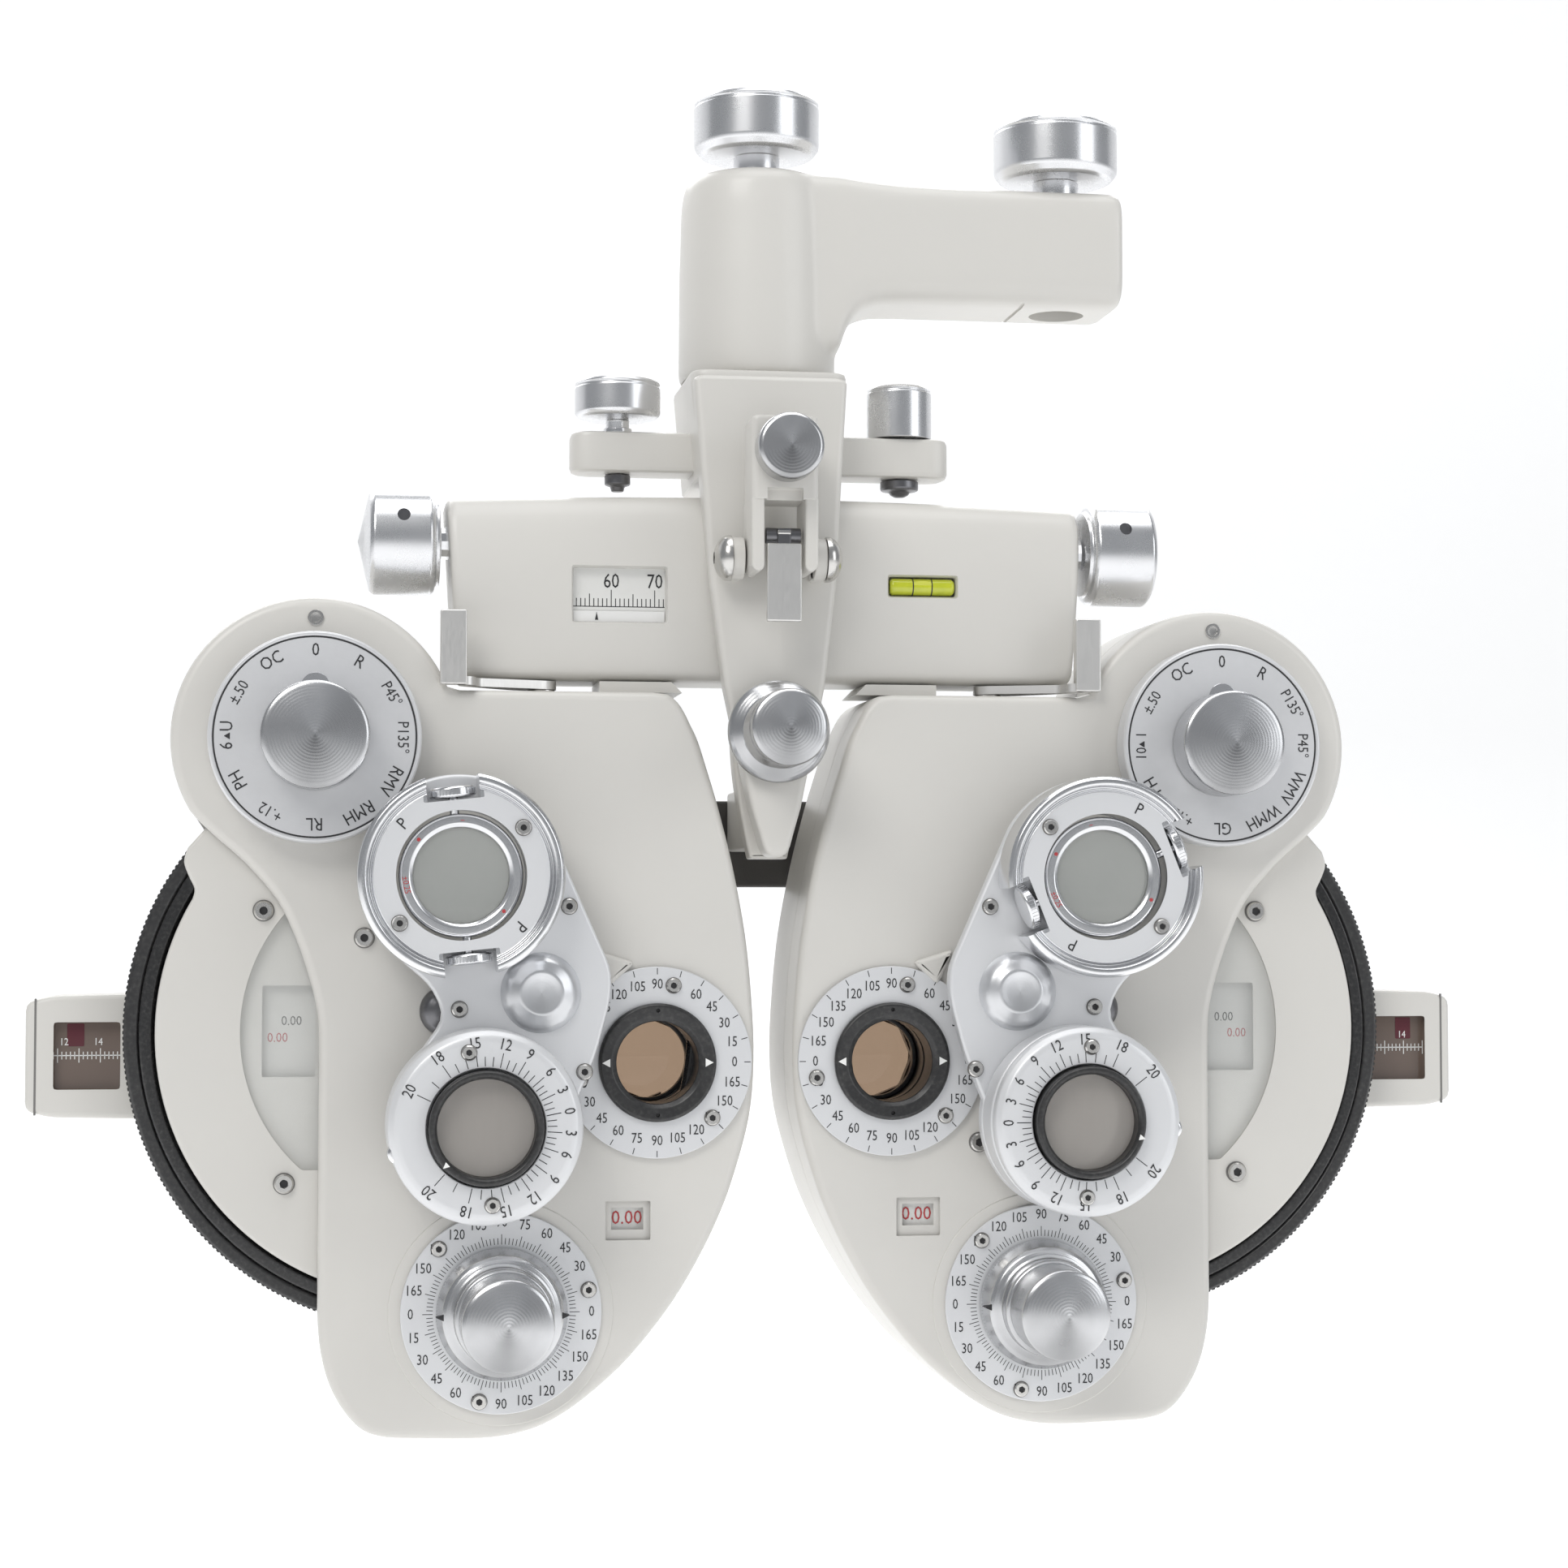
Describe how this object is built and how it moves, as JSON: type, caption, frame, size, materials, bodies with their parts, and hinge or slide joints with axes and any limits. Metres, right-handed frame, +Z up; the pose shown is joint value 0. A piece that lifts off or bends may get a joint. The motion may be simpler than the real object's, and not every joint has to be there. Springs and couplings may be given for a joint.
{
  "type": "phoropter",
  "caption": "Optician's refraction head: mirrored lens batteries with rotating dials, swinging turrets and adjustable eye spacing, hung from a yoke and a hanger arm.",
  "frame": {"origin": "mouth of the stand socket, under the free end of the hanger arm", "axes": "+X to the right seen from the examiner's side, +Y towards the patient, +Z up"},
  "size_m": [0.354, 0.087, 0.3292],
  "materials": {
    "ivory_paint": "warm light-grey satin paint",
    "satin_silver": "satin anodised, printed black",
    "turned_aluminium": "bright turned, fine circular lay",
    "black_dial": "gloss black with a knurled rim",
    "black_ring": "matt black",
    "dark_steel": "blued and brushed",
    "clear_window": "clear acrylic",
    "vial_fluid": "yellow-green spirit",
    "rest_pad": "soft black pad"
  },
  "bodies": {
    "hanger": {"hanger_arm": "ivory_paint"},
    "swivel_clamp": {"swivel_clamp_knob": "turned_aluminium"},
    "arm_clamp": {"arm_clamp_knob": "turned_aluminium"},
    "yoke": {"yoke": "ivory_paint", "spring_plunger": "turned_aluminium"},
    "leveling_screw": {"leveling_screw": "turned_aluminium"},
    "rod_bracket": {"rod_bracket": "ivory_paint"},
    "rod_clamp": {"rod_clamp_knob": "turned_aluminium"},
    "rod_lever": {"rod_release_lever": "dark_steel"},
    "forehead_rest": {"forehead_slide": "ivory_paint", "forehead_pad": "rest_pad"},
    "forehead_knob": {"forehead_knob": "turned_aluminium"},
    "bridge": {"pd_housing": "ivory_paint", "level_vial": "vial_fluid"},
    "pd_drive": {"pd_screw": "dark_steel", "pd_knob_left": "turned_aluminium", "pd_knob_right": "turned_aluminium"},
    "carriage_left": {"carriage_left": "ivory_paint", "pd_scale_plate": "satin_silver"},
    "carriage_right": {"carriage_right": "ivory_paint"},
    "unit_left": {"front_cover_left": "ivory_paint", "back_cover_left": "ivory_paint", "side_cover_left": "ivory_paint", "scale_window_left": "clear_window", "axis_scale_left": "satin_silver", "aperture_plate_left": "satin_silver", "vertex_box_left": "ivory_paint"},
    "sphere_dial_left": {"sphere_dial_left": "black_dial"},
    "strong_disc_left": {"strong_lens_disc_left": "dark_steel"},
    "aux_dial_left": {"aux_dial_left": "satin_silver"},
    "sphere_knob_left": {"sphere_knob_left": "turned_aluminium"},
    "turret_left": {"turret_plate_left": "satin_silver"},
    "cross_ring_left": {"cross_ring_left": "satin_silver"},
    "cross_cell_left": {"cross_cell_left": "turned_aluminium"},
    "prism_ring_left": {"prism_ring_left": "satin_silver"},
    "prism_bezel_left": {"prism_bezel_left": "black_ring"},
    "axis_ring_left": {"axis_ring_left": "turned_aluminium"},
    "aperture_ring_left": {"aperture_ring_left": "black_ring"},
    "cylinder_knob_left": {"cylinder_knob_left": "turned_aluminium"},
    "convergence_lever_left": {"convergence_lever_left": "satin_silver"},
    "unit_right": {"front_cover_right": "ivory_paint", "back_cover_right": "ivory_paint", "side_cover_right": "ivory_paint", "scale_window_right": "clear_window", "axis_scale_right": "satin_silver", "aperture_plate_right": "satin_silver", "vertex_box_right": "ivory_paint"},
    "sphere_dial_right": {"sphere_dial_right": "black_dial"},
    "strong_disc_right": {"strong_lens_disc_right": "dark_steel"},
    "aux_dial_right": {"aux_dial_right": "satin_silver"},
    "sphere_knob_right": {"sphere_knob_right": "turned_aluminium"},
    "turret_right": {"turret_plate_right": "satin_silver"},
    "cross_ring_right": {"cross_ring_right": "satin_silver"},
    "cross_cell_right": {"cross_cell_right": "turned_aluminium"},
    "prism_ring_right": {"prism_ring_right": "satin_silver"},
    "prism_bezel_right": {"prism_bezel_right": "black_ring"},
    "axis_ring_right": {"axis_ring_right": "turned_aluminium"},
    "aperture_ring_right": {"aperture_ring_right": "black_ring"},
    "cylinder_knob_right": {"cylinder_knob_right": "turned_aluminium"},
    "convergence_lever_right": {"convergence_lever_right": "satin_silver"}
  },
  "joints": [
    {"name": "yoke_swivel", "type": "hinge", "parent": "hanger", "child": "yoke", "pos_m": [-0.0775, 0, -0.02], "axis": [0, 0, 1], "range_deg": [-90, 90]},
    {"name": "swivel_clamp_turn", "type": "hinge", "parent": "hanger", "child": "swivel_clamp", "pos_m": [-0.0775, 0, 0.036], "axis": [0, 0, 1], "range_deg": [-360, 360]},
    {"name": "arm_clamp_turn", "type": "hinge", "parent": "hanger", "child": "arm_clamp", "pos_m": [0, 0, 0.036], "axis": [0, 0, 1], "range_deg": [-360, 360]},
    {"name": "level_tilt", "type": "hinge", "parent": "yoke", "child": "bridge", "pos_m": [-0.0775, -0.012, -0.074], "axis": [0, -1, 0], "range_deg": [-2, 2]},
    {"name": "leveling_screw_turn", "type": "hinge", "parent": "yoke", "child": "leveling_screw", "pos_m": [-0.1131, -0.005, -0.044], "axis": [0, 0, 1], "range_deg": [-450, 450]},
    {"name": "rod_flip", "type": "hinge", "parent": "yoke", "child": "rod_bracket", "pos_m": [-0.0775, -0.036, -0.068], "axis": [1, 0, 0], "range_deg": [0, 90]},
    {"name": "rod_clamp_turn", "type": "hinge", "parent": "rod_bracket", "child": "rod_clamp", "pos_m": [-0.0775, -0.05, -0.0437], "axis": [0, -1, 0], "range_deg": [-360, 360]},
    {"name": "rod_lever_press", "type": "hinge", "parent": "yoke", "child": "rod_lever", "pos_m": [-0.0775, -0.043, -0.063], "axis": [1, 0, 0], "range_deg": [0, 8], "stiffness_Nm_per_rad": 0.05},
    {"name": "forehead_travel", "type": "slide", "parent": "yoke", "child": "forehead_rest", "axis": [0, 1, 0], "range_m": [0, 0.014]},
    {"name": "forehead_knob_turn", "type": "hinge", "parent": "yoke", "child": "forehead_knob", "pos_m": [-0.0775, -0.04, -0.1095], "axis": [0, -1, 0], "range_deg": [0, 1690]},
    {"name": "pd_travel_left", "type": "slide", "parent": "bridge", "child": "carriage_left", "axis": [-1, 0, 0], "range_m": [-0.0024, 0.0091]},
    {"name": "pd_travel_right", "type": "slide", "parent": "bridge", "child": "carriage_right", "axis": [1, 0, 0], "range_m": [-0.0024, 0.0091]},
    {"name": "pd_knob_turn", "type": "hinge", "parent": "bridge", "child": "pd_drive", "pos_m": [-0.0775, -0.014, -0.063], "axis": [1, 0, 0], "range_deg": [-220, 825]},
    {"name": "convergence_left", "type": "hinge", "parent": "carriage_left", "child": "unit_left", "pos_m": [-0.11125, -0.012, -0.099], "axis": [0, 0, 1], "range_deg": [0, 4]},
    {"name": "convergence_lever_swing_left", "type": "hinge", "parent": "bridge", "child": "convergence_lever_left", "pos_m": [-0.1328, -0.018, -0.098], "axis": [0, 0, 1], "range_deg": [0, 20]},
    {"name": "weak_sphere_turn_left", "type": "hinge", "parent": "unit_left", "child": "sphere_dial_left", "pos_m": [-0.1607, -0.02, -0.181], "axis": [0, 1, 0], "continuous": true},
    {"name": "strong_disc_turn_left", "type": "hinge", "parent": "unit_left", "child": "strong_disc_left", "pos_m": [-0.1607, -0.005, -0.181], "axis": [0, 1, 0], "continuous": true},
    {"name": "strong_sphere_turn_left", "type": "hinge", "parent": "unit_left", "child": "sphere_knob_left", "pos_m": [-0.187, -0.04, -0.1118], "axis": [0, 1, 0], "continuous": true},
    {"name": "auxiliary_turn_left", "type": "hinge", "parent": "unit_left", "child": "aux_dial_left", "pos_m": [-0.187, -0.035, -0.1118], "axis": [0, 1, 0], "continuous": true},
    {"name": "turret_swing_left", "type": "hinge", "parent": "unit_left", "child": "turret_left", "pos_m": [-0.1345, -0.04, -0.1715], "axis": [0, 1, 0], "range_deg": [-83.4, 155.6]},
    {"name": "cross_axis_turn_left", "type": "hinge", "parent": "turret_left", "child": "cross_ring_left", "pos_m": [-0.15355, -0.0485, -0.14429], "axis": [0, 1, 0], "continuous": true},
    {"name": "cross_flip_left", "type": "hinge", "parent": "cross_ring_left", "child": "cross_cell_left", "pos_m": [-0.15355, -0.0485, -0.14429], "axis": [-0.1045, 0, 0.9945], "range_deg": [0, 180]},
    {"name": "prism_base_turn_left", "type": "hinge", "parent": "turret_left", "child": "prism_ring_left", "pos_m": [-0.14801, -0.05, -0.20185], "axis": [0, 1, 0], "range_deg": [-90, 90]},
    {"name": "prism_power_turn_left", "type": "hinge", "parent": "prism_ring_left", "child": "prism_bezel_left", "pos_m": [-0.14801, -0.05, -0.20185], "axis": [0, 1, 0], "range_deg": [-143, 143]},
    {"name": "cylinder_axis_turn_left", "type": "hinge", "parent": "unit_left", "child": "axis_ring_left", "pos_m": [-0.1427, -0.038, -0.247], "axis": [0, 1, 0], "continuous": true},
    {"name": "aperture_ring_turn_left", "type": "hinge", "parent": "unit_left", "child": "aperture_ring_left", "pos_m": [-0.1059, -0.032, -0.1884], "axis": [0, 1, 0], "continuous": true},
    {"name": "cylinder_power_turn_left", "type": "hinge", "parent": "unit_left", "child": "cylinder_knob_left", "pos_m": [-0.1427, -0.05, -0.247], "axis": [0, 1, 0], "continuous": true},
    {"name": "convergence_right", "type": "hinge", "parent": "carriage_right", "child": "unit_right", "pos_m": [-0.04375, -0.012, -0.099], "axis": [0, 0, -1], "range_deg": [0, 4]},
    {"name": "convergence_lever_swing_right", "type": "hinge", "parent": "bridge", "child": "convergence_lever_right", "pos_m": [-0.0222, -0.018, -0.098], "axis": [0, 0, -1], "range_deg": [0, 20]},
    {"name": "weak_sphere_turn_right", "type": "hinge", "parent": "unit_right", "child": "sphere_dial_right", "pos_m": [0.0057, -0.02, -0.181], "axis": [0, -1, 0], "continuous": true},
    {"name": "strong_disc_turn_right", "type": "hinge", "parent": "unit_right", "child": "strong_disc_right", "pos_m": [0.0057, -0.005, -0.181], "axis": [0, -1, 0], "continuous": true},
    {"name": "strong_sphere_turn_right", "type": "hinge", "parent": "unit_right", "child": "sphere_knob_right", "pos_m": [0.032, -0.04, -0.1118], "axis": [0, -1, 0], "continuous": true},
    {"name": "auxiliary_turn_right", "type": "hinge", "parent": "unit_right", "child": "aux_dial_right", "pos_m": [0.032, -0.035, -0.1118], "axis": [0, -1, 0], "continuous": true},
    {"name": "turret_swing_right", "type": "hinge", "parent": "unit_right", "child": "turret_right", "pos_m": [-0.0205, -0.04, -0.1715], "axis": [0, -1, 0], "range_deg": [-83.4, 155.6]},
    {"name": "cross_axis_turn_right", "type": "hinge", "parent": "turret_right", "child": "cross_ring_right", "pos_m": [-0.00145, -0.0485, -0.14429], "axis": [0, -1, 0], "continuous": true},
    {"name": "cross_flip_right", "type": "hinge", "parent": "cross_ring_right", "child": "cross_cell_right", "pos_m": [-0.00145, -0.0485, -0.14429], "axis": [0.9304, 0, 0.3665], "range_deg": [0, 180]},
    {"name": "prism_base_turn_right", "type": "hinge", "parent": "turret_right", "child": "prism_ring_right", "pos_m": [-0.00699, -0.05, -0.20185], "axis": [0, -1, 0], "range_deg": [-90, 90]},
    {"name": "prism_power_turn_right", "type": "hinge", "parent": "prism_ring_right", "child": "prism_bezel_right", "pos_m": [-0.00699, -0.05, -0.20185], "axis": [0, -1, 0], "range_deg": [-143, 143]},
    {"name": "cylinder_axis_turn_right", "type": "hinge", "parent": "unit_right", "child": "axis_ring_right", "pos_m": [-0.0123, -0.038, -0.247], "axis": [0, -1, 0], "continuous": true},
    {"name": "aperture_ring_turn_right", "type": "hinge", "parent": "unit_right", "child": "aperture_ring_right", "pos_m": [-0.0491, -0.032, -0.1884], "axis": [0, -1, 0], "continuous": true},
    {"name": "cylinder_power_turn_right", "type": "hinge", "parent": "unit_right", "child": "cylinder_knob_right", "pos_m": [-0.0123, -0.05, -0.247], "axis": [0, -1, 0], "continuous": true}
  ],
  "couplings": [
    {"joint": "leveling_screw_turn", "follows": "level_tilt", "ratio": 223},
    {"joint": "forehead_knob_turn", "follows": "forehead_travel", "rad_per_m": 2094.4},
    {"joint": "pd_travel_right", "follows": "pd_travel_left", "ratio": 1},
    {"joint": "pd_knob_turn", "follows": "pd_travel_left", "rad_per_m": 1570.8},
    {"joint": "convergence_lever_swing_left", "follows": "convergence_left", "ratio": 5},
    {"joint": "strong_sphere_turn_left", "follows": "strong_disc_turn_left", "ratio": -1},
    {"joint": "aperture_ring_turn_left", "follows": "cylinder_axis_turn_left", "ratio": 1},
    {"joint": "convergence_lever_swing_right", "follows": "convergence_right", "ratio": 5},
    {"joint": "strong_sphere_turn_right", "follows": "strong_disc_turn_right", "ratio": -1},
    {"joint": "aperture_ring_turn_right", "follows": "cylinder_axis_turn_right", "ratio": 1}
  ]
}
